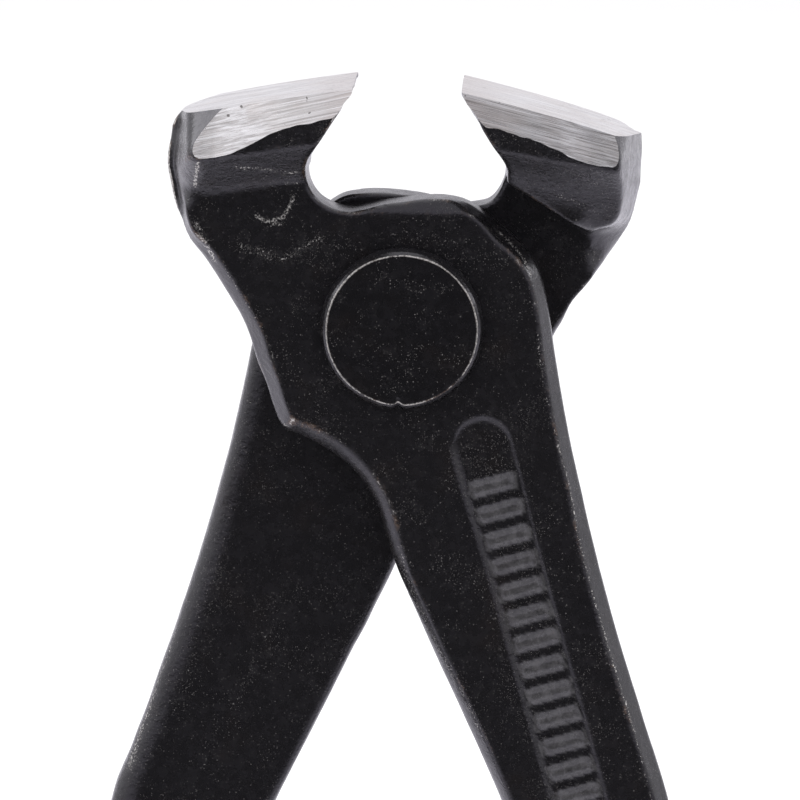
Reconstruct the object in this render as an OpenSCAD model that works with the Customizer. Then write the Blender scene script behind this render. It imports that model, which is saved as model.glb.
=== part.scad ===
// End-cutting nippers: two identical forged halves, lapped at the joint and
// held together by one large flat-headed rivet. The rear half is the front
// half turned by 180 degrees about the vertical axis.
//
// Frame: millimetres, +X right, +Z up towards the jaws, +Y from front to back.
// The origin is the centre of the flat face of the front rivet head, on the
// pivot axis. The halves stand open by 25.4 degrees; this is the rest pose.

/* [Joint] */
// Thickness of one half where the two halves lap over each other
plate_t = 6.5; // [6:0.25:7]
// Radius of the rivet shank
shank_r = 4.5; // [4:0.25:5.5]
// Radial running clearance of the shank in the rear half
bore_clear = 0.04; // [0.02:0.01:0.08]
// Gap between the two lapped faces
lap_gap = 0.03; // [0.02:0.01:0.06]

/* [Rivet heads] */
// Radius of the front head where it meets the front half
head_r = 8.8; // [8:0.1:9.5]
// Radius of the flat face of the front head
head_face_r = 8.2; // [7.4:0.1:8.2]
// Height of the front head
head_h = 2.05; // [1.5:0.05:2.4]
// Radius of the hammered rear head
rear_head_r = 8.2; // [7.5:0.1:9]
// Height of the hammered rear head
rear_head_h = 1.8; // [1.2:0.1:2.2]

/* [Jaws] */
// Length of each cutting edge, from front to back
jaw_w = 22; // [20:0.5:23]
// Slope of the ground bevels on the front and back of each jaw, mm in per mm up
bevel_slope = 0.3; // [0.2:0.02:0.4]
// Height of the line where the ground bevels start, near the cutting edge
bevel_z = 22.6; // [22:0.1:23]
// Distance from the pivot to the shoulder that stops the lap below each jaw
shoulder_r = 19.3; // [18.6:0.1:19.6]

/* [Handles] */
// Thickness of the handle below the joggle
grip_t = 8.5; // [7.5:0.25:9.5]
// Added to the width of the handle everywhere below the joint
grip_extra = 0; // [-1:0.25:1]
// Height where the joggle starts, measured square to the root line
joggle_z0 = -56; // [-58:1:-56]
// Height where the joggle ends, measured square to the root line
joggle_z1 = -76; // [-80:1:-72]

/* [Label field] */
// Width of the sunk field on the handle of each half
field_w = 6.9; // [6:0.1:7.2]
// Depth of the sunk field
field_d = 0.6; // [0.3:0.1:1]
// Number of raised cross bars in the field
bars = 12; // [6:1:13]
// Distance between the bars
bar_pitch = 2.9; // [2.7:0.1:3]

/* [Hidden] */
black = [0.10, 0.10, 0.11];
steel = [0.80, 0.79, 0.77];

lap_y = plate_t + head_h;  // from the front head face to the lapped faces
half_w = jaw_w / 2;
cut_y = 20;                // reach of the cutters, past the front and back
cut_left = -60;            // left end of the cutters

// Root line under the jaw, and the sections measured square to it
root_tilt = 9.1;
root_r = 17.6;             // from the pivot
hollow_h = 3.9;            // rise of the hollow above the root line
lap_top = 2;               // top of the lap step in the back side cutter
joggle_steps = 8;

shoulder_tilt = 31.4;
bevel_x = -9;              // where bevel_z is measured
bevel_tilt = 18.3;
oval_x = -17;              // where the oval end of the jaw starts
oval_len = 8.55;
oval_z = 8.5;              // the oval plan applies above this height

field_x = 9;               // centre of the field's upper end arc
field_z = -12.8;
field_tilt = 16.3;
field_len = 40.5;          // between the centres of the end arcs
bar_w = 4.6;
bar_h = 1.2;
bar_z = -3.6;              // lower edge of the top bar, from the upper arc centre
bar_sink = 0.1;            // bar faces below the face of the half
bar_root = 0.5;            // bar depth beyond field_d, set into the handle

rear_head_gap = 0.03;      // between the rear half and the rear head
rear_rim_h = 0.6;          // height of the rear head's rim, as a share of the head
rear_rim_in = 0.4;         // radius lost at the top of the rim
rear_face_in = 1.8;        // radius lost at the rear face

// A smooth open curve through control points, with steps points for each span
function point_at(points, i) = points[max(0, min(len(points) - 1, i))];
function blend(before, start, end, after, t) =
    0.5 * (2 * start + (end - before) * t
           + (2 * before - 5 * start + 4 * end - after) * t * t
           + (3 * start - before - 3 * end + after) * t * t * t);
function smooth(points, steps = 3) = concat(
    [for (i = [0 : len(points) - 2], k = [0 : steps - 1])
        blend(point_at(points, i - 1), points[i], points[i + 1],
              point_at(points, i + 2), k / steps)],
    [points[len(points) - 1]]);
function ease(t) = t * t * (3 - 2 * t);

// Outline of one half seen from the front, as [x, z]
outer_jaw = [[-25.4, 21.2], [-25.5, 17], [-24.7, 12.6], [-22.5, 8.7],
             [-19.8, 4.4], [-17.2, 0.4], [-15.3, -4.4], [-13.9, -8.7],
             [-13.2, -10.6]];
lobe      = [[-12.4, -11.5], [-9.6, -12.8], [-5.4, -15.5], [-2.0, -20.1],
             [0.3, -27], [2.3, -31.8], [6.4, -40], [12.2, -52]];
boss      = [[29.6, -49], [25.5, -36.3], [23.2, -29.2], [21.3, -22.8],
             [20.0, -16.8], [17.2, -7.3], [16.0, 0.6], [15.4, 3.7],
             [14.4, 6.9], [12.2, 9.3], [8.5, 12.4], [4.8, 14.0], [0, 13.9],
             [-3.4, 13.0], [-6.0, 12.5], [-8.6, 13.6], [-10.1, 15.5],
             [-10.4, 17.5], [-9.3, 19.8]];
jaw_top   = [[-5.77, 25.6], [-15.6, 23.65]];  // cutting edge, then outwards

// The handle as stations [x, z, width] along its centre line
grip = [[24.8, -62, 16.0], [29.4, -74, 15.0], [38.2, -98, 13.6],
        [46.6, -122, 12.9], [54.8, -146, 12.7], [60.4, -162.5, 12.8]];
last = len(grip) - 1;
function grip_centre(i) = [grip[i][0], grip[i][1]];
function grip_r(i) = (grip[i][2] + grip_extra) / 2;
function grip_dir(i) = let (v = point_at(grip, i + 1) - point_at(grip, i - 1))
    [v[0], v[1]] / norm([v[0], v[1]]);

// Handle edge at a station: side -1 is the inner edge, 1 the outer
function grip_edge(i, side) = let (dir = grip_dir(i))
    grip_centre(i) + side * grip_r(i) * [-dir[1], dir[0]];
grip_inner = [for (i = [0 : last]) grip_edge(i, -1)];
grip_outer = [for (i = [last : -1 : 0]) grip_edge(i, 1)];
end_angle = atan2(grip_dir(last)[1], grip_dir(last)[0]);
grip_end = [for (a = [-75 : 15 : 75])
    grip_centre(last) + grip_r(last) * [cos(end_angle + a), sin(end_angle + a)]];

outline = concat(smooth(outer_jaw),
                 smooth(concat(lobe, grip_inner)),
                 grip_end,
                 smooth(concat(grip_outer, boss)),
                 jaw_top);

// The jaw seen from above, as [x, y]: straight, with an oval outer end
jaw_plan = concat([[40, -half_w], [40, half_w]],
                  [for (a = [0 : 9 : 180])
                      [oval_x - oval_len * sin(a), half_w * cos(a)]]);

// The field's outline, as [x, z] from the centre of its upper end arc
field_outline = concat(
    [for (a = [0 : 15 : 180]) field_w / 2 * [cos(a), sin(a)]],
    [for (a = [180 : 15 : 360]) [0, -field_len] + field_w / 2 * [cos(a), sin(a)]]);

// A flat [x, z] shape pulled from y0 to y1
module pull(points, y0, y1)
    translate([0, y1, 0]) rotate([90, 0, 0]) linear_extrude(y1 - y0) polygon(points);

// A cutter in front of (side = -1) or behind (side = 1) the half, drawn as
// [distance from the pivot square to the root line, y]: sloping hollow under
// the jaw, flat plate, then the joggle that brings the handle back to the
// middle of the tool. face_y is how far the flat face lies towards that side.
module side_cutter(side, face_y) {
    right = 90;
    bottom = -240;
    joggle = [for (k = [0 : joggle_steps]) let (t = k / joggle_steps)
        [joggle_z0 + t * (joggle_z1 - joggle_z0),
         side * (face_y + ease(t) * (grip_t / 2 - face_y))]];
    rotate([0, -root_tilt, 0]) rotate([0, -90, 0])
        translate([0, 0, -right]) linear_extrude(right - cut_left)
            polygon(concat(
                [[root_r + hollow_h, side * half_w],
                 [root_r + 0.7, side * (plate_t + 0.9)],
                 [root_r - 0.5, side * plate_t]],
                face_y < plate_t
                    ? [[lap_top, side * plate_t], [lap_top, side * face_y]] : [],
                joggle,
                [[bottom, side * grip_t / 2], [bottom, side * cut_y],
                 [root_r + hollow_h, side * cut_y]]));
}

// Sinks the lapped face into the half, below a straight shoulder that clears
// the boss of the other half
module shoulder_cutter()
    rotate([0, -shoulder_tilt, 0])
        translate([cut_left, -lap_gap / 2, -30]) cube([120, 30, 30 + shoulder_r]);

// Clears everything outside the oval plan of the jaw
module oval_cutter()
    difference() {
        translate([cut_left, -cut_y, oval_z]) cube([80, 2 * cut_y, 40]);
        translate([0, 0, 5]) linear_extrude(60) polygon(jaw_plan);
    }

// Ground bevels: front and back faces lean in above a line that follows the jaw
module bevels()
    for (side = [-1, 1])
        translate([bevel_x, side * half_w, bevel_z])
            rotate([0, -bevel_tilt, 0]) rotate([side * atan(bevel_slope), 0, 0])
                translate([-40, side > 0 ? 0 : -cut_y, -5]) cube([80, cut_y, 35]);

module bore(r)
    translate([0, cut_y, 0]) rotate([90, 0, 0]) cylinder(r = r, h = 2 * cut_y, $fn = 72);

// Places children at the field's upper end arc, tilted along the handle
module on_field()
    translate([field_x, 0, field_z]) rotate([0, -field_tilt, 0]) children();

module field()
    on_field() pull(field_outline, -plate_t - 2, -plate_t + field_d);

module cross_bars()
    on_field()
        for (i = [0 : bars - 1])
            translate([-bar_w / 2, -plate_t + bar_sink, bar_z - i * bar_pitch])
                cube([bar_w, field_d + bar_root, bar_h]);

// One forged half, with its lapped face at y = 0, bored to radius bore_r
module half(bore_r) {
    difference() {
        pull(outline, -half_w - 1, half_w + 1);
        side_cutter(-1, plate_t);
        side_cutter(1, -lap_gap / 2);
        shoulder_cutter();
        oval_cutter();
        bevels();
        bore(bore_r);
        field();
    }
    cross_bars();
}

module front_half()
    color(black) translate([0, lap_y, 0]) half(shank_r);

module rear_half()
    color(black) translate([0, lap_y, 0]) rotate([0, 0, 180]) half(shank_r + bore_clear);

// The rivet: tapered front head, plain shank, hammered rear head.
// The profile is [radius, distance in front of the lapped faces].
module pivot_rivet() {
    front = plate_t + head_h;
    seat = -plate_t - rear_head_gap;
    color(steel) translate([0, lap_y, 0]) rotate([90, 0, 0])
        rotate_extrude($fn = 96)
            polygon([[0, front], [head_face_r, front],
                     [head_r, plate_t], [shank_r, plate_t],
                     [shank_r, seat], [rear_head_r, seat],
                     [rear_head_r - rear_rim_in, seat - rear_head_h * rear_rim_h],
                     [rear_head_r - rear_face_in, seat - rear_head_h],
                     [0, seat - rear_head_h]]);
}

front_half();
rear_half();
pivot_rivet();
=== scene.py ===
"""Pincers: two forged halves that cross and lap on a rivet.

Scene units are metres with +Z up; shapes are worked out in mm. The rivet lies along Y through
x = z = 0, its front head face near y = 0. The jaws are up, the handles run down and apart, and
-Y is the front.

Each half is modelled in its own frame: lapped face near y = 0, jaw at -X, handle toward +X, outer
("front") face at -Y. The rear half is then given half a turn about Z.
"""
import math
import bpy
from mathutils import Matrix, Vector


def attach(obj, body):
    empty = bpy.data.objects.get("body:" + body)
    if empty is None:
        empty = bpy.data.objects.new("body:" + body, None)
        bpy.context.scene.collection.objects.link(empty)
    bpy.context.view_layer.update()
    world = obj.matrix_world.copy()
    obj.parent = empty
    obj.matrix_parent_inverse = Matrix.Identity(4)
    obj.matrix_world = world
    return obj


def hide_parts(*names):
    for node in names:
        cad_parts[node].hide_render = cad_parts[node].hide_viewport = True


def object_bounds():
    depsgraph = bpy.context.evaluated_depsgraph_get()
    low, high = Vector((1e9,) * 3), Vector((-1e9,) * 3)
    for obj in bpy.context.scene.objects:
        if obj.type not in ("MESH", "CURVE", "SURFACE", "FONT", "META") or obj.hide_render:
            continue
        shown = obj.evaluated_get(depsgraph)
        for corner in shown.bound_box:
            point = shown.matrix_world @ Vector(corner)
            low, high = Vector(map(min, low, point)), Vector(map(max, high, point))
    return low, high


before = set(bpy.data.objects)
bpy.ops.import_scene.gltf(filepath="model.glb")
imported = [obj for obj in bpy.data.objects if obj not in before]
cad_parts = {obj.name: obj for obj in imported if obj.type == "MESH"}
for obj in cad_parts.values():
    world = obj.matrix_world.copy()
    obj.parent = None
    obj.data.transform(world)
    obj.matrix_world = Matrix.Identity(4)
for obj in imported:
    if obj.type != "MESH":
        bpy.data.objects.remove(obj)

from types import SimpleNamespace

import bmesh
import bpy
import numpy as np
from mathutils import Matrix, Vector

CAD_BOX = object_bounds()
MM = 0.001

# ---------------------------------------------------------------- sizes, mm

CELL = 0.315         # sampling step over the head
LONGEST_CELL = 0.95   # and at the far end of the handle
RIVET_SECTORS = 320

LAP_Y = 8.55            # scene y of the lapped plane
LAP_GAP = 0.05          # each lapped face keeps this far off the plane
PLATE = 6.5             # lapped plane to the face of the plate
JAW_DEPTH = 11.0        # lapped plane to the flats of the jaw
GRIP_DEPTH = 4.25       # half thickness of the grip
HOLE_RADIUS = 4.53

ROOT_TILT = 9.1         # degrees, the line where plate swells into jaw
ROOT_HEIGHT = 17.3
SHOULDER_TILT = 31.4    # degrees, the step above the lapped face
SHOULDER_HEIGHT = 19.3
BEVEL_TOP = 12.45       # z of the boss bevel on the plate face

# sunk field with raised bars on the plate's front face
FIELD_TILT = math.radians(16.6)
FIELD_X, FIELD_Z = 9.0, -12.8
FIELD_LENGTH = 40.5
FIRST_BAR = 4.3
BAR_PITCH = 2.95
BAR_COUNT = 13

# ------------------------------------------------------------------ outline


def station(points, front, back, front_power=1.0, back_power=2.0):
    """Outline points [x, z] with the wall's inset at the front and back face,
    and how rounded each of the two is (1 flat draft, 2 round)."""
    return [(x, z, front, back, front_power, back_power) for x, z in points]


OUTER = (
    station([(-24.7, 25.2), (-25.35, 21.2), (-25.55, 19), (-25.5, 17)], 2.05, 2.6, 1.0, 1.0)
    + station([(-25.2, 14.9), (-24.7, 12.6)], 1.95, 2.75, 1.0, 1.0)
    + station([(-23.8, 10.7), (-22.6, 8.8)], 1.6, 3.3, 1.2, 1.0)
    + station([(-21.4, 6.9), (-19.8, 4.4), (-18.5, 2.4), (-17.2, 0.4)], 1.5, 0.9, 1.25)
    + station([(-16.2, -1.7), (-15.3, -4.4), (-14.5, -6.5), (-13.9, -8.7), (-13.3, -10.4)],
              1.65, 0.8, 1.0))
LOBE = (
    station([(-12.8, -11.3), (-12.1, -11.8), (-10.9, -12.2), (-9.6, -12.8), (-7.2, -14.1),
             (-5.4, -15.5)], 1.7, 0.8, 1.8)
    + station([(-3.7, -17.3), (-2.0, -20.1), (-0.6, -24.3)], 1.6, 0.7, 1.8)
    + station([(0.6, -27.6), (2.3, -31.8), (3.9, -35.4), (6.4, -40), (9.5, -46.5), (12.4, -53)],
              1.35, 0.8, 1.45))
BOSS_SIDE = (
    station([(30.0, -51.0), (28, -43.8), (25.5, -36.3), (23.2, -29.2), (21.4, -22.8)],
            1.42, 2.1, 1.0)
    + station([(20.1, -16.8), (18.6, -12.2), (17.2, -7.3), (16.4, -2.8)], 1.3, 1.8, 1.0)
    + station([(15.95, 0.7)], 1.2, 0.7))
BOSS_TOP = (
    station([(15.4, 3.7), (14.6, 6.2), (13.6, 7.9), (12.2, 9.4), (10.5, 10.8)], 1.2, 0.7)
    + station([(8.5, 12.35), (6.8, 13.42)], 0.7, 0.6)
    + station([(4.8, 13.92), (2.2, 13.92), (-0.1, 13.6), (-1.8, 13.38), (-3.4, 13.0)], 0.06, 0.4)
    + station([(-4.7, 12.7), (-6.0, 12.5), (-7.5, 12.75), (-8.9, 13.5), (-9.8, 14.4),
               (-10.4, 15.6), (-10.55, 16.9), (-10.2, 18.2), (-9.3, 19.7)], 0.12, 0.3)
    + station([(-8.0, 21.9), (-5.77, 25.6), (-4.4, 27.9)], 0.05, 0.05))
# centre line of the grip: x, z, width
GRIP = np.array([(24.8, -62, 16.0), (29.4, -74, 15.0), (38.2, -98, 13.6),
                 (46.6, -122, 12.9), (54.8, -146, 12.7), (60.4, -162.5, 12.8)])
GRIP_CAP_RADIUS = 6.5

# lower border of the ground facets, [x, z] on the flats of the jaw
FRONT_LINE = [(-4.0, 23.95), (-7.5, 22.93), (-11.2, 21.95), (-12.8, 21.55), (-14.4, 20.95),
              (-16.5, 19.88), (-18.6, 18.66), (-20.2, 17.90), (-21.3, 17.75), (-26, 17.7)]
BACK_LINE = [(-4.0, 23.6), (-8.3, 22.3), (-10.0, 21.9), (-14.3, 20.72), (-16.4, 19.92),
             (-18.0, 19.11), (-19.6, 18.51), (-20.7, 18.40), (-26, 18.3)]

# How the two forgings differ.
#   shifts     [z, dx] for the stations of OUTER, LOBE and BOSS_SIDE
#   trims      [z, dx] for the finished curves through the same three
#   inner_dx   x shift of the jaw's inner side; hook_dz, crown_dz: z shifts of
#              the hollow below it and of the boss top
#   nick       roughness of the jaw tip
#   corners    planes x, y, z, offset and blend radius that cut the jaw
#   top        ground top face: z at x = TOP_X and rise per mm of x
#   facets     side, slope and lower border of the ground facets
#   scuffs     amount, half width, side (-1 front, 1 back, 0 all but the
#              front), polyline [x, z]
FRONT = SimpleNamespace(
    name="front_half_forging", seed=11, rough=1.0, turned=False,
    inner_dx=0.0, hook_dz=-0.10, crown_dz=0.0, nick=1.3,
    corners=[(-0.75, 0.0, 0.66, 33.02, 0.5), (-0.48, -0.64, 0.60, 29.40, 1.0),
             (-0.77, 0.376, 0.515, 31.5, 0.8)],
    top=(25.93, 0.190),
    facets=[(-1, 0.31, FRONT_LINE), (1, 0.33, BACK_LINE)],
    shifts=(
        [(-10.0, -0.05), (-8.0, -0.1), (-5.5, -0.30), (-3.5, -0.30), (-1, -0.17), (2.2, 0.03),
         (4.4, 0.05), (6.5, 0.0), (8.7, -0.57), (10.9, -0.28), (13.1, -0.25), (15.3, -0.30),
         (17.4, -0.35), (19.6, 0.0), (26, 0.0)],
        [(-60, -0.05), (-47.7, -0.12), (-45.6, 0.06), (-43.4, 0.0), (-41, -0.12), (-39, -0.06),
         (-36.9, 0.10), (-34.7, 0.18), (-32.5, 0.13), (-30.4, 0.02), (-28.2, -0.14),
         (-26, -0.20), (-20, -0.14), (-15, 0.0)],
        [(-60, 0.1), (-49.9, 0.09), (-47.7, -0.08), (-45.6, -0.29), (-43.4, -0.36),
         (-39, -0.45), (-36.9, -0.42), (-32.5, -0.39), (-28.2, -0.31), (-23.9, -0.30),
         (-21.7, -0.33), (-19.5, -0.46), (-17.4, -0.49), (-15.2, -0.41), (-13, -0.16),
         (-10.8, 0.05), (-8.7, 0.19), (-6.5, 0.28), (-4.3, 0.25), (-2.2, 0.18), (1.5, 0.0)]),
    trims=([(0, 0)], [(0, 0)], [(0, 0)]),
    scuffs=[
        (1.0, 0.42, -1, [(-15.9, 11.8), (-15.3, 11.3), (-14.2, 11.2), (-12.9, 11.7),
                         (-12.3, 12.8), (-12.0, 13.9)]),
        (0.9, 0.35, -1, [(-14.6, 10.7), (-13.3, 10.9)]),
        (0.75, 0.45, -1, [(-18.2, 17.2), (-15.3, 17.0), (-12.8, 16.6), (-11.5, 16.6)]),
        (0.8, 0.35, -1, [(-12.7, 15.4), (-11.5, 15.4)]),
        (0.55, 0.22, -1, [(-5.0, 12.0), (-5.9, 11.8), (-6.5, 11.1), (-6.1, 10.1), (-5.6, 9.4)]),
        (0.7, 0.3, -1, [(-11.8, 2.2), (-11.3, 1.3)]),
        (0.75, 0.5, -1, [(14.6, -0.4), (15.0, -3.6)]),
        (1.0, 0.4, -1, [(-22.0, 17.7), (-22.3, 16.4), (-22.5, 14.8)]),
        (0.86, 0.26, -1, [(10.1, 10.5), (11.6, 9.2), (12.8, 7.8), (13.7, 6.1)]),
        (0.86, 0.55, -1, [(-22.4, 10.9), (-21.9, 9.8), (-21.2, 8.4), (-20.3, 6.6)]),
        (0.80, 0.22, -1, [(14.9, -3.0), (15.7, -7.3), (17.1, -12.2), (18.5, -16.8),
                          (19.7, -22.8), (21.5, -29.2), (23.8, -36.3), (26.3, -43.8),
                          (28.3, -51.0), (32.0, -65.0)]),
        (0.72, 0.25, -1, [(-19.7, 6.9), (-18.2, 4.4), (-16.9, 2.4), (-15.6, 0.4),
                          (-14.4, -1.7), (-13.5, -4.4)]),
        (0.7, 0.25, 0, [(-24.6, 22.0), (-24.9, 18.0), (-24.5, 14.0)]),
        (0.7, 0.9, -1, [(-17.5, 8.5), (-13.0, 7.0), (-9.0, 9.5)]),
        (0.6, 1.3, -1, [(-0.2, 0.6), (-1.6, 0.0), (2.2, 0.3)]),
        (0.66, 0.8, -1, [(0.4, -23.9), (1.0, -26.9), (2.3, -29.9), (4.3, -34.3), (7.1, -39.2),
                         (10.0, -44.7)]),
        (0.5, 0.9, -1, [(-8.8, 5.6), (-5.0, 9.2), (0.5, 10.4), (5.0, 9.6), (8.2, 6.6)]),
        (0.5, 0.7, -1, [(-12.0, -10.2), (-9.5, -11.2), (-7.0, -12.6)]),
        (0.45, 0.7, 1, [(12.0, -20.0), (15.0, -26.0)]),
        (0.7, 0.4, 1, [(-18.0, 12.0), (-15.5, 10.5)]),
        (0.5, 1.0, 1, [(20.0, -34.0), (24.0, -47.0), (35.0, -80.0)]),
    ])
REAR = SimpleNamespace(
    name="rear_half_forging", seed=47, rough=1.1, turned=True,
    inner_dx=-0.26, hook_dz=-0.50, crown_dz=-0.26, nick=2.2,
    corners=[(-0.48, -0.64, 0.60, 29.40, 1.0), (-0.77, 0.376, 0.515, 32.05, 0.8)],
    top=(25.90, 0.260),
    facets=[(-1, 0.32, FRONT_LINE), (1, 0.27, BACK_LINE)],
    shifts=(
        [(-3.5, 0.0), (-1, -0.25), (0, -0.34), (2.2, 0.02), (4.4, -0.25), (6.5, -0.37),
         (8.7, -0.50), (10.9, -0.58), (13.1, -0.15), (15.3, -0.18), (17.4, 0.15), (19.6, 0.10),
         (26, 0.0)],
        [(-60, -0.1), (-49.9, -0.11), (-47.7, -0.18), (-45.6, -0.3), (-43.4, -0.19),
         (-39, -0.26), (-36.9, -0.14), (-34.7, 0.02), (-32.5, 0.04), (-30.4, -0.02),
         (-28.2, -0.06), (-26, -0.17), (-20, -0.1), (-15, 0.0)],
        [(-60, 0.3), (-49.9, 0.27), (-47.7, -0.36), (-45.6, -0.98), (-43.4, -0.90),
         (-41.2, -0.70), (-39, -0.46), (-36.9, -0.48), (-32.5, -0.63), (-28.2, -0.5),
         (-26, -0.45), (-23.9, -0.48), (-21.7, -0.44), (-19.5, -0.72), (-17.4, -0.88),
         (-15.2, -0.85), (-13, -0.52), (-10.8, -0.12), (-8.7, -0.08), (-6.5, 0.08),
         (-4.3, 0.04), (1.5, 0.0)]),
    trims=(
        [(-2, 0.0), (0, -0.08), (2.2, 0.10), (5, 0), (8.6, -0.15), (10.8, 0.0), (13, 0.14),
         (15.5, 0)],
        [(-42, 0), (-38.6, 0.10), (-36.4, 0.20), (-34.2, 0.05), (-31, 0), (-27.8, -0.10),
         (-24, 0)],
        [(-56, 0), (-53.5, 0.04), (-51.3, -0.27), (-49.1, -0.31), (-47.0, -0.03), (-44.8, 0.22),
         (-42.7, 0.32), (-40.5, 0.19), (-38.3, -0.01), (-36.2, -0.12), (-34.0, -0.10),
         (-31.9, 0.02), (-29.7, 0.09), (-27.5, 0.02), (-25.3, 0.0), (-23.2, -0.10),
         (-21.1, -0.08), (-18.9, 0.06), (-16.7, 0.10), (-14.6, 0.05), (-11, 0)]),
    scuffs=[
        (0.5, 1.6, 0, [(12.0, -30.0), (16.0, -40.0), (21.0, -50.0)]),
        (0.80, 0.75, 0, [(17.6, -8.0), (19.4, -14.0), (21.2, -22.0), (22.6, -28.0),
                         (24.8, -36.0), (27.2, -44.0), (29.2, -51.0)]),
        (0.52, 2.6, 0, [(19.0, -28.0), (21.5, -36.0), (24.0, -44.0)]),
        (0.6, 0.5, 1, [(-20.5, 13.2), (-16.0, 15.0)]),
        (0.5, 0.7, -1, [(-13.0, 8.0), (-8.0, 10.0), (-4.0, 9.0)]),
        (0.6, 0.5, -1, [(10.0, -8.0), (13.0, -14.0)]),
        (0.5, 1.0, -1, [(20.0, -34.0), (24.0, -47.0), (35.0, -80.0)]),
    ])
TOP_X = -5.77


def smooth_curve(points, steps=4):
    """Catmull-Rom curve through the points; every column is carried along."""
    points = np.asarray(points, float)
    last = len(points) - 1
    out = []
    for i in range(last):
        a, b, c, d = (points[k] for k in (max(i - 1, 0), i, i + 1, min(i + 2, last)))
        for k in range(steps):
            t = k / steps
            out.append(0.5 * (2 * b + (c - a) * t + (2 * a - 5 * b + 4 * c - d) * t * t
                              + (3 * b - a - 3 * c + d) * t ** 3))
    out.append(points[-1])
    return np.array(out)


def moved(points, table):
    table = np.array(table)
    return [(x + float(np.interp(z, table[:, 0], table[:, 1])), z, *insets)
            for x, z, *insets in points]


def trimmed(curve, table):
    table = np.array(table, float)
    curve[:, 0] += np.interp(curve[:, 1], table[:, 0], table[:, 1])
    return curve


def bell(value, centre, width):
    return math.exp(-((value - centre) / width) ** 2)


def outline(half):
    """Closed contour of a half, columns as in station()."""
    outer, lobe, boss = (moved(points, table) for points, table
                         in zip((OUTER, LOBE, BOSS_SIDE), half.shifts))
    boss += [(x + half.inner_dx * bell(z, 19.5, 3.0) * (x < -6),
              z + half.hook_dz * bell(x, -9.2, 1.3) * (z < 16)
              + half.crown_dz * bell(x, 3.8, 2.2), *insets)
             for x, z, *insets in BOSS_TOP]
    along = np.gradient(GRIP, axis=0)[:, :2]
    along /= np.linalg.norm(along, axis=1)[:, None]
    across = np.stack([-along[:, 1], along[:, 0]], 1)
    lobe_side = GRIP[:, :2] - across * GRIP[:, 2:] / 2
    boss_side = GRIP[:, :2] + across * GRIP[:, 2:] / 2
    lobe += station(lobe_side, 1.6, 1.9, 1.7)
    boss = station(boss_side[::-1], 1.9, 2.2, 1.3) + boss
    end_angle = math.atan2(along[-1, 1], along[-1, 0])
    cap_angles = [end_angle + math.radians(degrees) for degrees in range(-75, 76, 15)]
    cap = station([(GRIP[-1, 0] + GRIP_CAP_RADIUS * math.cos(angle),
                    GRIP[-1, 1] + GRIP_CAP_RADIUS * math.sin(angle)) for angle in cap_angles],
                  1.8, 2.0, 1.5)
    outer, lobe, boss = (trimmed(smooth_curve(points), table) for points, table
                         in zip((outer, lobe, boss), half.trims))
    return np.concatenate([outer, lobe, np.array(cap), boss])


def contour_fields(x, z, contour):
    """Signed distance to the closed contour (negative inside) and the values
    carried by the nearest contour point."""
    shape = x.shape
    x = x.ravel().astype(np.float32)
    z = z.ravel().astype(np.float32)
    best = np.full(x.shape, 1e9, np.float32)
    values = np.zeros((len(x), contour.shape[1] - 2), np.float32)
    inside = np.zeros(x.shape, bool)
    for start, end in zip(contour, np.roll(contour, -1, axis=0)):
        run = end[:2] - start[:2]
        t = np.clip(((x - start[0]) * run[0] + (z - start[1]) * run[1]) / (run @ run), 0, 1)
        dist = (x - start[0] - t * run[0]) ** 2 + (z - start[1] - t * run[1]) ** 2
        nearer = dist < best
        best[nearer] = dist[nearer]
        share = t[nearer][:, None]
        values[nearer] = start[2:] * (1 - share) + end[2:] * share
        crossed = (start[1] > z) != (end[1] > z)
        if crossed.any():
            inside ^= crossed & (x < start[0] + (z - start[1]) * (run[0] / run[1]))
    dist = np.sqrt(best) * np.where(inside, -1, 1)
    return dist.reshape(shape), [column.reshape(shape) for column in values.T]


# ------------------------------------------------------------ field helpers


def ramp(start, end, value):
    """Smooth step, 0 at start and 1 at end; end may be the lower one."""
    t = np.clip((value - start) / (end - start), 0.0, 1.0)
    return t * t * (3 - 2 * t)


def smax(a, b, blend):
    return np.maximum(a, b) + np.maximum(blend - np.abs(a - b), 0.0) ** 2 / (4 * blend)


def smin(a, b, blend):
    return -smax(-a, -b, blend)


def spline_weights(knots, step, line):
    """Cubic B-spline weights of the samples on a line over a coarse row of knots."""
    place = (line - line[0]) / step + 1.0
    i = np.clip(np.floor(place).astype(int), 1, knots - 3)
    t = place - i
    weights = np.zeros((len(line), knots), np.float32)
    rows = np.arange(len(line))
    weights[rows, i - 1] = (1 - t) ** 3 / 6
    weights[rows, i] = (3 * t ** 3 - 6 * t ** 2 + 4) / 6
    weights[rows, i + 1] = (-3 * t ** 3 + 3 * t ** 2 + 3 * t + 1) / 6
    weights[rows, i + 2] = t ** 3 / 6
    return weights


class Noise:
    """Smooth seeded noise over the grid; wavelength and amplitude in mm."""

    def __init__(self, seed, wavelength, amplitude, lines):
        rng = np.random.RandomState(seed)
        knots = [int((line[-1] - line[0]) / wavelength) + 5 for line in lines]
        self.values = rng.standard_normal(knots).astype(np.float32) * amplitude * 1.9
        self.along_x, self.along_y, self.along_z = (
            spline_weights(count, wavelength, line) for count, line in zip(knots, lines))

    def slice(self, j):
        layer = np.tensordot(self.along_y[j], self.values, axes=(0, 1))
        return self.along_x @ layer @ self.along_z.T


def tilted_height(x, z, degrees):
    angle = math.radians(degrees)
    return -math.sin(angle) * x + math.cos(angle) * z


def above_root(x, z):
    return tilted_height(x, z, ROOT_TILT) - ROOT_HEIGHT


def hollow(height, foot):
    """Distance of a face from the lapped plane, at a height above the root line."""
    swell = smax(PLATE, PLATE + height * 1.13, foot)
    return smin(swell, JAW_DEPTH, 0.5)


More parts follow.
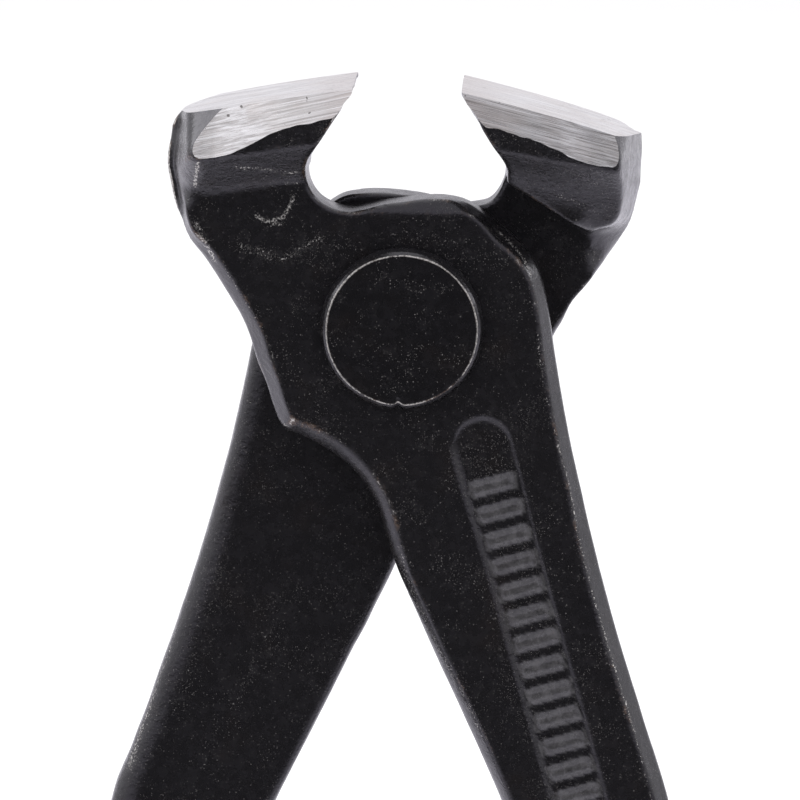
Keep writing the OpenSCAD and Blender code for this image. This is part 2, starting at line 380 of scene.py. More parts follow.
def field_place(x, z):
    """Place across and down the sunk field, and distance to its middle line."""
    cos, sin = math.cos(FIELD_TILT), math.sin(FIELD_TILT)
    across = (x - FIELD_X) * cos + (z - FIELD_Z) * sin
    down = (x - FIELD_X) * sin - (z - FIELD_Z) * cos
    return across, down, np.hypot(across, down - np.clip(down, 0, FIELD_LENGTH))


def bar_number(down):
    return np.round((down - FIRST_BAR) / BAR_PITCH)


def field_relief(x, z, seed):
    """Depth of the sunk field and height of the bars in it."""
    across, down, dist = field_place(x, z)
    sunk = 0.52 * ramp(0.10, -0.75, dist - (3.45 - 0.25 * ramp(2, 14, down)))
    number = bar_number(down)
    rng = np.random.RandomState(seed)
    pick = np.clip(number, 0, 19).astype(int)
    offset = rng.uniform(-0.12, 0.12, 20)[pick]
    longer = rng.uniform(-0.12, 0.12, 20)[pick]
    off_end = np.abs(across - offset) - (2.28 + longer)
    off_side = np.abs(down - FIRST_BAR - number * BAR_PITCH) - 0.66
    dist = (np.hypot(np.maximum(off_end, 0), np.maximum(off_side, 0))
            + np.minimum(np.maximum(off_end, off_side), 0))
    dist = np.where((number >= 0) & (number < BAR_COUNT), dist, 9.0)
    return sunk, 0.46 * ramp(0.22, -0.28, dist)


# ---------------------------------------------------------- the forged half


def grid_lines():
    """Grid lines along x, y and z, and the x shift of each z layer, which
    follows the handle. Cells grow longer down the handle."""
    head = np.arange(-57.0, 28.6, CELL)
    low = [-57.0]
    step = CELL
    while low[-1] > -173.5:
        step = min(step * 1.06, LONGEST_CELL)
        low.append(low[-1] - step)
    z_lines = np.concatenate([np.array(low[:0:-1]), head])
    lean = np.interp(z_lines, [-175, -146, -98, -53, -25, 0], [58.5, 48.5, 32.0, 14.0, 2.0, 0])
    padded = np.concatenate([np.full(12, lean[0]), lean, np.full(12, lean[-1])])
    lean = np.convolve(padded, np.ones(25) / 25, 'valid')
    return np.arange(-27.2, 22.6, CELL), np.arange(-11.9, 11.95, CELL), z_lines, lean


def half_field(half, lines, lean):
    """Signed field of one half (negative inside), slice by slice along y."""
    x_lines, y_lines, z_lines = lines
    x = x_lines[:, None] + lean[None, :]
    z = np.broadcast_to(z_lines[None, :], x.shape)
    edge_dist, (front_inset, back_inset, front_power, back_power) = contour_fields(
        x, z, outline(half))

    def zone(z_start, z_end, x_start, x_end):
        return ramp(z_start, z_end, z) * ramp(x_start, x_end, x)

    def flatness(face):
        """Turns a y distance to a sloping face into a true one."""
        slope_x = np.gradient(face, x_lines, axis=0)
        slope_z = np.gradient(face, z_lines, axis=1)
        return 1 / np.sqrt(1 + slope_x ** 2 + slope_z ** 2)

    # faces, by their distance from the lapped plane
    height = above_root(x, z)
    grip = ramp(-56, -76, height + ROOT_HEIGHT)
    front = hollow(height, 0.9) + grip * (GRIP_DEPTH - PLATE)
    back = hollow(height, 3.0)
    lap = -LAP_GAP + grip * (GRIP_DEPTH + LAP_GAP)
    front_flat, back_flat, lap_flat = flatness(front), flatness(back), flatness(lap)
    sunk, bars = field_relief(x, z, half.seed + 5)
    front = front - sunk + bars
    over_shoulder = SHOULDER_HEIGHT - tilted_height(x, z, SHOULDER_TILT)
    shoulder_blend = 0.5 + 1.6 * ramp(-17.0, -22.0, x)

    # depths between which the wall insets run, and the seam between them
    jaw = zone(7.5, 13.5, -9.0, -14.0)
    jaw_wall = zone(6.5, 10.5, -9.0, -14.0)
    front_depth = PLATE + jaw * (JAW_DEPTH - PLATE) - grip * (PLATE - GRIP_DEPTH)
    seam = -4.2 + jaw * 2.0 + grip * 4.2
    back_depth = zone(8.0, 11.0, -9.0, -14.0) * JAW_DEPTH + grip * GRIP_DEPTH

    # where single features act
    tip = zone(21.0, 24.5, -11, -7)
    jaw_end = zone(9, 14, -20.0, -24.0)
    ragged = zone(17.0, 18.5, -6.0, -8.0)
    rim = zone(12, 15, -18.0, -21.0)

    # blend radii where the wall meets the front, back and lapped faces
    front_blend = 0.32 + rim * (0.35 + 2.7 * ramp(20.0, 16.2, z))
    back_blend = 0.42 + 0.3 * rim
    lap_blend = (0.30 + 1.35 * back_inset * (1 - jaw) * ramp(3.0, -2.0, z)
                 + 4.0 * zone(4.5, 8.5, -17.5, -21.0))

    surface = [Noise(half.seed, 8.0, 0.050, lines), Noise(half.seed + 1, 2.6, 0.020, lines),
               Noise(half.seed + 2, 1.1, 0.010, lines)]
    tip_noise = Noise(half.seed + 3, 0.85, 0.10, lines)
    seam_noise = Noise(half.seed + 4, 0.9, 0.16, lines)
    rag_noise = Noise(half.seed + 7, 0.75, 0.024, lines)

    field = np.empty((len(x_lines), len(y_lines), len(z_lines)), np.float32)
    for j, y in enumerate(y_lines):
        # drafted and rounded side wall
        to_front = np.clip((seam - y) / (seam + front_depth), 0, 1.3)
        to_back = np.clip((y - seam) / np.maximum(back_depth - seam, 1.0), 0, 1.3)
        inset = front_inset * to_front ** front_power
        plate_inset = 0.15 * back_inset * np.minimum(to_back, 1.0) ** 2
        jaw_inset = back_inset * to_back ** back_power
        inset = inset + (plate_inset + (jaw_inset - plate_inset) * jaw_wall)
        side = (edge_dist + inset) * 0.965
        side = side + tip * np.maximum(tip_noise.slice(j) * half.nick, -0.05)
        # rough seam on the outer end, proud of the drafted wall in front
        flash = seam_noise.slice(j)
        side = (side + jaw_end * 0.62 * ramp(0.25, 0.70, seam - y + 0.9 * flash)
                + jaw_end * np.abs(flash) * 0.35 * np.exp(-(y - seam) ** 2))

        rag = ragged * rag_noise.slice(j)
        solid = smax(side, (-front - y) * front_flat + rag, front_blend)
        solid = smax(solid, (y - back) * back_flat + rag, back_blend)
        recess = smin((y - lap) * lap_flat, over_shoulder, shoulder_blend)
        solid = smax(solid, recess, lap_blend)
        # bevel of the boss, then the corners of the jaw
        bevel = -0.85 * y + 0.527 * z - (0.85 * PLATE + 0.527 * BEVEL_TOP)
        solid = np.where(x > -5.5, smax(solid, bevel, 0.18), solid)
        for slope_x, slope_y, slope_z, offset, blend in half.corners:
            corner = slope_x * x + slope_y * y + slope_z * z - offset
            solid = smax(solid, np.where(x < -8, corner, -5), blend)
        # the lapped faces are milled flat and keep clear of each other, and so
        # do the cutting edges when the tool is shut
        rough = sum(layer.slice(j) for layer in surface) * half.rough
        milled = 1 - 0.85 * np.exp(-((y - lap) / 0.6) ** 2)
        solid = solid + rough * (1 - 0.75 * ragged) * milled
        shut = x * 0.97592 + z * 0.21814 + 0.02
        solid = np.where(z > 16, np.maximum(solid, shut), solid)
        field[:, j, :] = np.maximum(solid, HOLE_RADIUS - np.hypot(x, z))
    return field


def surface_nets(field):
    """Quads around the zero surface; vertices in grid index units."""
    cells = np.array(field.shape) - 1
    negative = field < 0
    corner_cells = []
    corner_places = []
    quads = []
    for axis, side_a, side_b in ((0, 1, 2), (1, 2, 0), (2, 0, 1)):
        lower = [slice(None)] * 3
        upper = [slice(None)] * 3
        lower[axis] = slice(0, -1)
        upper[axis] = slice(1, None)
        lower, upper = tuple(lower), tuple(upper)
        found = np.nonzero(negative[lower] != negative[upper])
        start = field[lower][found].astype(np.float64)
        end = field[upper][found].astype(np.float64)
        index = np.stack(found, 1)
        place = index.astype(np.float64)
        place[:, axis] += start / (start - end)
        within = ((index[:, side_a] >= 1) & (index[:, side_b] >= 1)
                  & (index[:, side_a] < cells[side_a]) & (index[:, side_b] < cells[side_b]))
        index = index[within]
        place = place[within]
        rising = (start < end)[within]
        corners = []
        for step_a, step_b in ((-1, -1), (0, -1), (0, 0), (-1, 0)):
            cell = index.copy()
            cell[:, side_a] += step_a
            cell[:, side_b] += step_b
            number = (cell[:, 0] * cells[1] + cell[:, 1]) * cells[2] + cell[:, 2]
            corners.append(number)
            corner_cells.append(number)
            corner_places.append(place)
        quad = np.stack(corners, 1)
        quads.append(np.where(rising[:, None], quad, quad[:, ::-1]))
    places = np.concatenate(corner_places)
    used, inverse = np.unique(np.concatenate(corner_cells), return_inverse=True)
    count = np.bincount(inverse)
    verts = np.stack([np.bincount(inverse, places[:, k]) / count for k in range(3)], 1)
    return verts, np.searchsorted(used, np.concatenate(quads))


def trilinear(field, places):
    i = np.clip(np.floor(places).astype(int), 0, np.array(field.shape) - 2)
    t = places - i
    out = 0
    for corner in np.ndindex(2, 2, 2):
        part = [t[:, k] if far else 1 - t[:, k] for k, far in enumerate(corner)]
        weight = part[0] * part[1] * part[2]
        out = out + weight * field[tuple((i + corner).T)]
    return out


def blur(field, passes):
    for axis in range(3):
        before, middle, after = [slice(None)] * 3, [slice(None)] * 3, [slice(None)] * 3
        before[axis] = slice(0, -2)
        middle[axis] = slice(1, -1)
        after[axis] = slice(2, None)
        for _ in range(passes):
            out = field.copy()
            out[tuple(middle)] = (0.25 * field[tuple(before)] + 0.5 * field[tuple(middle)]
                                  + 0.25 * field[tuple(after)])
            field = out
    return field


def make_mesh(name, verts, faces):
    mesh = bpy.data.meshes.new(name)
    count, sides = faces.shape
    mesh.vertices.add(len(verts))
    mesh.vertices.foreach_set("co", np.asarray(verts, np.float32).ravel())
    mesh.loops.add(faces.size)
    mesh.loops.foreach_set("vertex_index", faces.astype(np.int32).ravel())
    mesh.polygons.add(count)
    mesh.polygons.foreach_set("loop_start", (np.arange(count) * sides).astype(np.int32))
    mesh.polygons.foreach_set("loop_total", np.full(count, sides, np.int32))
    mesh.update(calc_edges=True)
    mesh.validate()
    return mesh


def add_object(name, data):
    ob = bpy.data.objects.new(name, data)
    bpy.context.scene.collection.objects.link(ob)
    return ob


def add_attribute(mesh, name, values):
    attribute = mesh.attributes.new(name, 'FLOAT', 'POINT')
    attribute.data.foreach_set("value", values.astype(np.float32))


def paint_half(mesh, verts, edge, scuffs):
    """Point attributes that steer the lacquer: edge wear, bars, scuffs with a painted highlight
    over the bars and the sunk field, wrinkles.
    """
    x, y, z = verts.T
    across, down, dist = field_place(x, z)
    in_field = ramp(4.6, 3.9, dist) * (y < -1)
    add_attribute(mesh, "edge", edge * (1 - 0.68 * in_field))

    off_bar = np.abs(down - FIRST_BAR - bar_number(down) * BAR_PITCH)
    on_bar = ((np.abs(across) < 2.7) & (off_bar < 0.95) & (down > 3) & (down < FIELD_LENGTH)
              & (y < -1))
    add_attribute(mesh, "bar", on_bar)

    # bars and sunk field start with some scuff: painted highlight on the raised letters, partly
    # their wear
    scuff_and_sheen = np.where(on_bar, 0.10, 0.28 * in_field)
    for amount, width, side, line in scuffs:
        line = np.array(line, float)
        best = np.full(len(verts), 1e9)
        for start, end in zip(line[:-1], line[1:]):
            run = end - start
            t = np.clip(((x - start[0]) * run[0] + (z - start[1]) * run[1]) / (run @ run), 0, 1)
            best = np.minimum(best, np.hypot(x - start[0] - t * run[0],
                                             z - start[1] - t * run[1]))
        reached = y * side > 2.0 if side else y > -2.2
        scuff_and_sheen = np.maximum(scuff_and_sheen, amount * np.exp(-(best / width) ** 2) * reached)
    add_attribute(mesh, "scuff_and_sheen", scuff_and_sheen)

    height = above_root(x, z)
    add_attribute(mesh, "wrinkle", ramp(-2.0, 0.3, height) * ramp(6.5, 4.6, height)
                  * ramp(5.5, 6.5, np.abs(y)) * (x < -4))


def grind(bm, point, normal):
    """Cut away all beyond a plane; the cap gets slot 1 and is split into strips."""
    cut = bmesh.ops.bisect_plane(bm, geom=bm.verts[:] + bm.edges[:] + bm.faces[:],
                                 plane_co=point, plane_no=normal.normalized(),
                                 clear_outer=True, dist=1e-5)
    rim = [edge for edge in cut["geom_cut"]
           if isinstance(edge, bmesh.types.BMEdge) and edge.is_boundary]
    cap = set(bmesh.ops.holes_fill(bm, edges=rim, sides=0)["faces"])
    for face in cap:
        face.material_index = 1
        face.normal_update()
    for x in np.arange(-24.5, -6.0, 0.8):
        big = [face for face in cap if len(face.verts) > 4]
        edges = {edge for face in big for edge in face.edges}
        verts = {vert for face in big for vert in face.verts}
        cut = bmesh.ops.bisect_plane(bm, geom=big + list(edges) + list(verts),
                                     plane_co=(x, 0, 0), plane_no=(1, 0, 0), dist=1e-5)
        cap = {face for face in cap if face.is_valid} | {
            face for face in cut["geom"]
            if isinstance(face, bmesh.types.BMFace) and face.material_index == 1}


def grind_facet(bm, side, slope, border):
    """Grind a facet with a curved lower border: skew the half until the border
    is straight, cut a plane, and skew it back."""
    straight_z = 20.0
    table = np.array(border)[::-1]

    def skew(sign):
        for vert in bm.verts:
            rise = float(np.interp(vert.co.x, table[:, 0], table[:, 1])) - straight_z
            vert.co.y += sign * (-side * slope * rise)

    skew(1)
    grind(bm, Vector((0, side * JAW_DEPTH, straight_z)), Vector((0, side, slope)))
    skew(-1)


def crowned(x, z):
    """Slight crown of the ground top face."""
    return z + 0.22 * (1 - ((x + 15.6) / 9.8) ** 2) * ramp(20.0, 22.8, z)


def build_half(half):
    """The finished object and the material slot of each of its faces."""
    *lines, lean = grid_lines()
    field = half_field(half, lines, lean)
    places, quads = surface_nets(field)
    edge = trilinear(blur(field, 2), places) - trilinear(field, places)
    x, y, z = (np.interp(places[:, k], np.arange(len(line)), line)
               for k, line in enumerate(lines))
    x = x + np.interp(places[:, 2], np.arange(len(lean)), lean)
    verts = np.stack([x, y, z], 1)
    mesh = make_mesh(half.name, verts, quads)
    paint_half(mesh, verts, edge, half.scuffs)

    bm = bmesh.new()
    bm.from_mesh(mesh)
    top_z, top_slope = half.top
    grind(bm, Vector((TOP_X, 0, top_z)), Vector((-top_slope, 0, 1)))
    for facet in half.facets:
        grind_facet(bm, *facet)
    bmesh.ops.triangulate(bm, faces=[face for face in bm.faces if len(face.verts) > 4])

    coords = np.array([vert.co[:] for vert in bm.verts])
    coords[:, 2] = crowned(coords[:, 0], coords[:, 2])
    if half.turned:
        coords[:, :2] *= -1
    coords[:, 1] += LAP_Y
    for vert, place in zip(bm.verts, coords):
        vert.co = Vector(place * MM)
    bm.normal_update()

    # sharp borders around and between the ground faces
    for edge in bm.edges:
        if len(edge.link_faces) == 2:
            one, other = edge.link_faces
            if one.material_index != other.material_index:
                edge.smooth = False
            else:
                edge.smooth = not (one.material_index == 1
                                   and one.normal.angle(other.normal, 0) > 0.15)
    for face in bm.faces:
        face.smooth = True
    slots = np.array([face.material_index for face in bm.faces], np.int32)
    bm.to_mesh(mesh)
    bm.free()
    return add_object(half.name, mesh), slots


def stand_in(ob, carrier, piece):
    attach(ob, carrier)
    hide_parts(piece)


front_half, front_slots = build_half(FRONT)
rear_half, rear_slots = build_half(REAR)
stand_in(front_half, "front", "front_half")
stand_in(rear_half, "rear", "rear_half")

# ---------------------------------------------------------------- the rivet

AXIS_RADIUS = 0.02      # the profile stops just short of the axis
FRONT_FACE_Y = 0.03
FRONT_SEAT_Y = 2.10     # underside of the front head
REAR_SEAT_Y = 15.09     # underside of the rear head
SHANK_RADIUS = 4.45


def line_profile(start, end, count, wear_start=0.0, wear_end=0.0):
    return [(start[0] + (end[0] - start[0]) * t, start[1] + (end[1] - start[1]) * t,
             wear_start + (wear_end - wear_start) * t) for t in (i / count for i in range(count))]


def arc_profile(centre, radius, start, end, count, wear):
    angles = [math.radians(start + (end - start) * i / count) for i in range(count)]
    return [(centre[0] + radius * math.cos(angle), centre[1] + radius * math.sin(angle), wear)
            for angle in angles]


def rivet_profile():
    """Points radius, y, edge wear, from the front face to the rear one."""
    profile = (
        line_profile((AXIS_RADIUS, FRONT_FACE_Y), (7.85, FRONT_FACE_Y), 36)
        + line_profile((7.85, FRONT_FACE_Y), (8.02, 0.0), 3, 0.0, 0.6)
        + arc_profile((8.02, 0.16), 0.16, -90, -45, 4, wear=1.0)
        + line_profile((8.14, 0.05), (8.20, 0.11), 3, 1.0, 0.2)
        + line_profile((8.20, 0.11), (8.46, 0.42), 5)
        + line_profile((8.46, 0.42), (8.72, 1.20), 8)
        + line_profile((8.74, 1.22), (8.80, 1.80), 5)
        + line_profile((8.80, 1.95), (8.3, FRONT_SEAT_Y), 3)
        + line_profile((8.3, FRONT_SEAT_Y), (SHANK_RADIUS, FRONT_SEAT_Y), 3)
        + line_profile((SHANK_RADIUS, FRONT_SEAT_Y), (SHANK_RADIUS, 15.06), 8)
        + line_profile((SHANK_RADIUS, REAR_SEAT_Y), (8.05, REAR_SEAT_Y), 5)
        + arc_profile((7.75, 15.55), 0.42, -60, 55, 5, wear=0.3))
    for i in range(26):     # domed rear face
        inward = 1 - i / 26
        radius = 7.95 * inward
        dome = 1.02 * math.cos(math.pi / 2 * (radius / 8.0)) ** 0.8
        profile.append((radius, REAR_SEAT_Y + 0.75 + dome, 0.15 * inward))
    profile.append((AXIS_RADIUS, 16.86, 0.0))
    return np.array(profile)


def build_rivet(seed):
    rng = np.random.RandomState(seed)
    profile = rivet_profile()
    rings, sectors = len(profile), RIVET_SECTORS
    theta = np.arange(sectors) * 2 * math.pi / sectors
    radius, y, wear = (np.repeat(column[:, None], sectors, 1) for column in profile.T)
    x = radius * np.cos(theta)
    z = radius * np.sin(theta)

    waves = np.zeros_like(radius)
    for wavelength, amplitude in ((7.0, 0.018), (3.0, 0.010), (1.3, 0.006), (0.7, 0.003)):
        for _ in range(7):
            angle = rng.uniform(0, 2 * math.pi)
            phase = rng.uniform(0, 6.28)
            length = wavelength * rng.uniform(0.7, 1.4)
            along = x * math.cos(angle) + z * math.sin(angle)
            waves += amplitude * 0.5 * np.sin(2 * math.pi * along / length + phase)
    uneven = np.zeros_like(radius)      # rims out of round
    for lobes in (2, 3, 5, 7, 11, 17, 26, 41):
        uneven += 0.035 / lobes ** 0.6 * np.sin(lobes * theta + rng.uniform(0, 6.28))[None, :]
    hammered = np.zeros_like(radius)    # marks on the rear head
    for _ in range(26):
        angle = rng.uniform(0, 2 * math.pi)
        reach = 7.4 * math.sqrt(rng.uniform(0, 1))
        size = rng.uniform(0.9, 1.9)
        dist = np.hypot(x - reach * math.cos(angle), z - reach * math.sin(angle)) / size
        hammered = np.minimum(hammered, -rng.uniform(0.05, 0.14) * np.exp(-dist ** 4))

    rear = y > 15.5
    fade = np.clip(radius / 0.5, 0, 1)
    y = y + np.where(rear, hammered + waves, np.where(y < 0.2, waves * 0.8, 0)) * fade
    # one nick in the rim, low on the front head
    nick = np.exp(-((theta[None, :] - math.radians(268.6)) * 8.2 / 0.35) ** 2)
    radius = (radius + np.where((radius > 7.6) & (y < 2.0), uneven * 0.8 - nick * 0.35, 0)
              + np.where(rear & (radius > 6), uneven * 2.2, 0))
    verts = np.stack([radius * np.cos(theta), y, radius * np.sin(theta)], -1).reshape(-1, 3)

    ring = np.arange(rings - 1)[:, None] * sectors
    here = np.arange(sectors)[None, :]
    there = (here + 1) % sectors
    quads = np.stack([ring + here, ring + there, ring + sectors + there, ring + sectors + here],
                     -1).reshape(-1, 4)
    mesh = make_mesh("pivot_rivet_body", verts * MM, quads)
    around = 0.90 + 0.10 * np.cos(theta - 2.3) + 0.05 * np.sin(2 * theta + 0.7)
    add_attribute(mesh, "edge", (wear * around[None, :] * 0.165).ravel())

    bm = bmesh.new()
    bm.from_mesh(mesh)
    middle = [vert for vert in bm.verts if math.hypot(vert.co.x, vert.co.z) < 0.00003]
    bmesh.ops.remove_doubles(bm, verts=middle, dist=0.0001)
    bmesh.ops.dissolve_degenerate(bm, edges=bm.edges[:], dist=1e-8)
    bmesh.ops.recalc_face_normals(bm, faces=bm.faces[:])
    for face in bm.faces:
        face.smooth = True
    bm.to_mesh(mesh)
    bm.free()
    return add_object("pivot_rivet_body", mesh)


rivet = build_rivet(seed=5)
stand_in(rivet, "front", "pivot_rivet")

# ---------------------------------------------------------------- materials


class Graph:
    """Short calls that fill an empty node tree; texture space is in mm."""

    def __init__(self, owner):
        owner.use_nodes = True
        self.tree = owner.node_tree
        self.tree.nodes.clear()

    def node(self, kind, inputs=None, **settings):
        node = self.tree.nodes.new("ShaderNode" + kind)
        for name, value in settings.items():
            setattr(node, name, value)
        for key, value in (inputs or {}).items():
            if isinstance(value, bpy.types.NodeSocket):
                self.tree.links.new(value, node.inputs[key])
            else:
                node.inputs[key].default_value = value
        return node

    def math(self, operation, a, b=0.0, clamp=False):
        return self.node("Math", {0: a, 1: b}, operation=operation, use_clamp=clamp).outputs[0]

    def add(self, a, b):
        return self.math('ADD', a, b)

    def mul(self, a, b):
        return self.math('MULTIPLY', a, b)

    def ramp(self, value, low, high):
        return self.node("MapRange", {"Value": value, "From Min": low, "From Max": high},
                         interpolation_type='SMOOTHSTEP', clamp=True).outputs["Result"]

    def mix(self, factor, a, b):
        return self.node("Mix", {0: factor, 6: a, 7: b}, data_type='RGBA').outputs[2]

    def mix_value(self, factor, a, b):
        return self.node("Mix", {0: factor, 2: a, 3: b}, data_type='FLOAT').outputs[0]

    def coords(self, scale=(1, 1, 1), turn=0, offset=(0, 0, 0)):
        """Object coordinates, moved, turned about Y, then scaled."""
        vector = self.node("TexCoord").outputs["Object"]
        for inputs in ({"Scale": (1000, 1000, 1000)},
                       {"Rotation": (0, turn, 0), "Location": offset}, {"Scale": scale}):
            vector = self.node("Mapping", {"Vector": vector, **inputs}).outputs[0]
        return vector

    def noise(self, vector, scale, detail, rough, distortion=0.0):
        return self.node("TexNoise", {"Vector": vector, "Scale": scale, "Detail": detail,
                                      "Roughness": rough, "Distortion": distortion}
                         ).outputs["Fac"]

    def bump(self, height, strength, distance):
        return self.node("Bump", {"Strength": strength, "Distance": distance,
                                  "Height": height}).outputs["Normal"]

    def attribute(self, name):
        return self.node("Attribute", attribute_name=name).outputs["Fac"]

    def axis(self, vector, name):
        return self.node("SeparateXYZ", {0: vector}).outputs[name]


def grey(value):
    return (value, value, value, 1)


def lacquer_specks(g, vector, scuff_and_sheen, density, strength):
    """Small bright specks that gather in drifts, along scuffs and over the painted highlight of
    the bars and field.
    """
    drifts = g.add(g.ramp(g.noise(vector, scale=0.26, detail=3, rough=0.6), low=0.47, high=0.64),
                   density)
    specks = None
    for scale, size_range in ((3.3, 0.15), (5.6, 0.20), (8.3, 0.24)):
        cells = g.node("TexVoronoi", {"Vector": vector, "Scale": scale}, feature='F1')
        chance, size, bright = g.node("SeparateColor", {0: cells.outputs["Color"]}).outputs
        crowding = g.mul(g.add(drifts, g.mul(scuff_and_sheen, 1.3)), 0.36)
        picked = g.math('GREATER_THAN', chance, g.math('SUBTRACT', 0.965, crowding))
        radius = g.add(g.mul(size, size_range), 0.07)
        dot = g.mul(g.math('LESS_THAN', cells.outputs["Distance"], radius), picked)
        dot = g.mul(dot, g.add(g.mul(bright, 0.8), 0.2))
        specks = dot if specks is None else g.math('MAXIMUM', specks, dot)
    return g.math('MULTIPLY', specks, strength, clamp=True)


def black_lacquer(name, offset, lift, speck=1.0, wear=0.0, density=0.0):
    """Black lacquer. lift lightens it, speck and density set the strength and
    number of specks, wear lowers the threshold for bare edges."""
    material = bpy.data.materials.new(name)
    g = Graph(material)
    place = g.coords(offset=offset)
    big = g.noise(place, scale=0.16, detail=4, rough=0.6)
    mid = g.noise(place, scale=0.9, detail=5, rough=0.65)
    fine = g.noise(place, scale=4.2, detail=3, rough=0.6)
    grit = g.noise(place, scale=9.0, detail=2, rough=0.5)
    scuff_and_sheen = g.attribute("scuff_and_sheen")

    def lifted(red, green, blue):
        return (red + 1.1 * lift, green + lift, blue + 1.1 * lift, 1)

    tone = g.mix(g.ramp(mid, low=0.35, high=0.68),
                 lifted(0.0076, 0.0072, 0.0081), lifted(0.0086, 0.0081, 0.0091))
    tone = g.mix(g.ramp(big, low=0.50, high=0.78), tone, lifted(0.0106, 0.0088, 0.0086))
    specks = lacquer_specks(g, place, scuff_and_sheen, density, speck)
    tone = g.mix(g.mul(specks, 0.9), tone, (0.17, 0.16, 0.15, 1))

    # scuffs, and painted highlight on the bars and field: broken bright strokes
    broken = g.add(g.mul(fine, 0.65), g.mul(grit, 0.45))
    strokes = g.ramp(g.add(g.mul(scuff_and_sheen, 0.40), broken), low=0.88, high=0.97)
    # wear on the edges: brown border, bare metal within
    uneven = g.add(g.mul(mid, 0.10), g.mul(fine, 0.12))
    patch = g.noise(place, scale=0.22, detail=3, rough=0.55)
    patch = g.mul(g.ramp(patch, low=0.40, high=0.62), 0.035)
    edge = g.add(g.add(g.attribute("edge"), uneven), patch)
    worn = g.math('MAXIMUM', g.ramp(edge, low=0.236 - wear, high=0.262 - wear), strokes)
    rust = g.ramp(edge, low=0.200 - wear, high=0.240 - wear)
    bare = g.mix(g.ramp(fine, low=0.35, high=0.65), (0.22, 0.21, 0.20, 1), (0.55, 0.53, 0.51, 1))
    brown = g.mix(g.ramp(g.noise(place, scale=0.5, detail=2, rough=0.5), low=0.44, high=0.62),
                  (0.030, 0.028, 0.028, 1), (0.085, 0.052, 0.034, 1))
    color = g.mix(g.mul(rust, 0.7), tone, brown)
    # lighter grey blotches on the bar tops: painted highlight of the glossy bars, partly their
    # wear
    highlight_blotch = g.add(g.mul(mid, 0.62), g.mul(fine, 0.38))
    bar = g.mul(g.attribute("bar"), g.ramp(highlight_blotch, low=0.15, high=0.85))
    color = g.mix(bar, color, (0.105, 0.102, 0.105, 1))
    color = g.mix(worn, color, bare)

    rough = g.mix_value(g.ramp(mid, low=0.3, high=0.7), 0.20, 0.32)
    rough = g.mix_value(specks, rough, 0.6)
    rough = g.mix_value(worn, rough, 0.45)

    # relief: grain, orange peel, wrinkles, grit, sunk specks
    peel = g.noise(g.coords(scale=(0.8, 1.5, 1.5), offset=offset),
                   scale=1.25, detail=2, rough=0.5, distortion=0.6)
    wave = g.noise(g.coords(scale=(0.75, 1.0, 1.3), offset=offset),
                   scale=1.5, detail=2, rough=0.5, distortion=1.4)
    height = g.add(g.mul(mid, 0.50), g.mul(fine, 0.32))
    height = g.add(height, g.mul(peel, 1.2))
    height = g.add(height, g.mul(g.mul(wave, g.attribute("wrinkle")), 2.6))
    height = g.add(height, g.mul(grit, 0.12))
    height = g.math('SUBTRACT', height, g.mul(specks, 0.12))
    shader = g.node("BsdfPrincipled", {
        "Base Color": color, "Metallic": g.mul(worn, 0.6), "Roughness": rough,
        "Normal": g.bump(height, strength=0.5, distance=0.00008),
        "Specular Tint": (1.0, 0.975, 1.08, 1)})
    g.node("OutputMaterial", {0: shader.outputs[0]})
    return material


def ground_steel(name, turn, offset):
    """Steel ground along the jaw: fine parallel lines, slightly warm patches."""
    material = bpy.data.materials.new(name)
    g = Graph(material)

    def streaks(scale, detail, rough):
        return g.noise(g.coords(scale=scale, turn=turn, offset=offset),
                       scale=1.0, detail=detail, rough=rough)

    coarse = streaks((0.07, 2.6, 3.4), detail=3, rough=0.6)
    fine = streaks((0.22, 7.5, 9.0), detail=2, rough=0.6)
    long = streaks((0.03, 5.5, 6.5), detail=1, rough=0.5)
    place = g.coords(offset=offset)
    patch = g.noise(place, scale=0.20, detail=3, rough=0.5)
    lines = g.add(g.mul(coarse, 0.6), g.mul(fine, 0.4))
    color = g.mix(g.ramp(lines, low=0.36, high=0.62),
                  (0.50, 0.485, 0.47, 1), (0.90, 0.895, 0.885, 1))
    color = g.mix(g.mul(g.ramp(patch, low=0.42, high=0.68), 0.40), color, (0.66, 0.605, 0.56, 1))
    # warmer toward the middle of the tool
    from_middle = g.math('ABSOLUTE', g.axis(g.coords(), 0))
    color = g.mix(g.mul(g.ramp(from_middle, low=12.5, high=6.0), 0.50), color,
                  (0.56, 0.50, 0.465, 1))
    # single long lines, dark and bright, and a few pits
    color = g.mix(g.mul(g.ramp(long, low=0.60, high=0.68), 0.45), color, (0.30, 0.285, 0.27, 1))
    color = g.mix(g.mul(g.ramp(long, low=0.40, high=0.32), 0.6), color, (0.97, 0.97, 0.965, 1))
    pits = g.ramp(g.noise(place, scale=1.4, detail=2, rough=0.4), low=0.725, high=0.745)
    color = g.mix(pits, color, (0.22, 0.21, 0.20, 1))
    height = g.add(g.mul(coarse, 0.8), g.mul(fine, 0.35))
    shader = g.node("BsdfPrincipled", {
        "Base Color": color, "Metallic": 1.0,
        "Roughness": g.mix_value(g.ramp(fine, low=0.3, high=0.7), 0.24, 0.36),
        "Normal": g.bump(height, strength=0.35, distance=0.00004)})
    g.node("OutputMaterial", {0: shader.outputs[0]})
    return material


# offsets keep the pieces from sharing a pattern
front_lacquer = black_lacquer("lacquer_front", offset=(3.0, 7.0, 1.0), wear=0.018, density=0.08,
                              lift=0.0016)
rear_lacquer = black_lacquer("lacquer_rear", offset=(41.0, 13.0, 29.0), wear=-0.018,
                             density=0.22, lift=0.0017)
rivet_lacquer = black_lacquer("lacquer_rivet", offset=(11.0, 53.0, 17.0), speck=1.3,
                              lift=-0.0003)
GRIND_ANGLE = math.atan(0.235)
front_steel = ground_steel("ground_steel_front", turn=GRIND_ANGLE, offset=(5.0, 2.0, 9.0))
rear_steel = ground_steel("ground_steel_rear", turn=-GRIND_ANGLE, offset=(25.0, 32.0, 19.0))

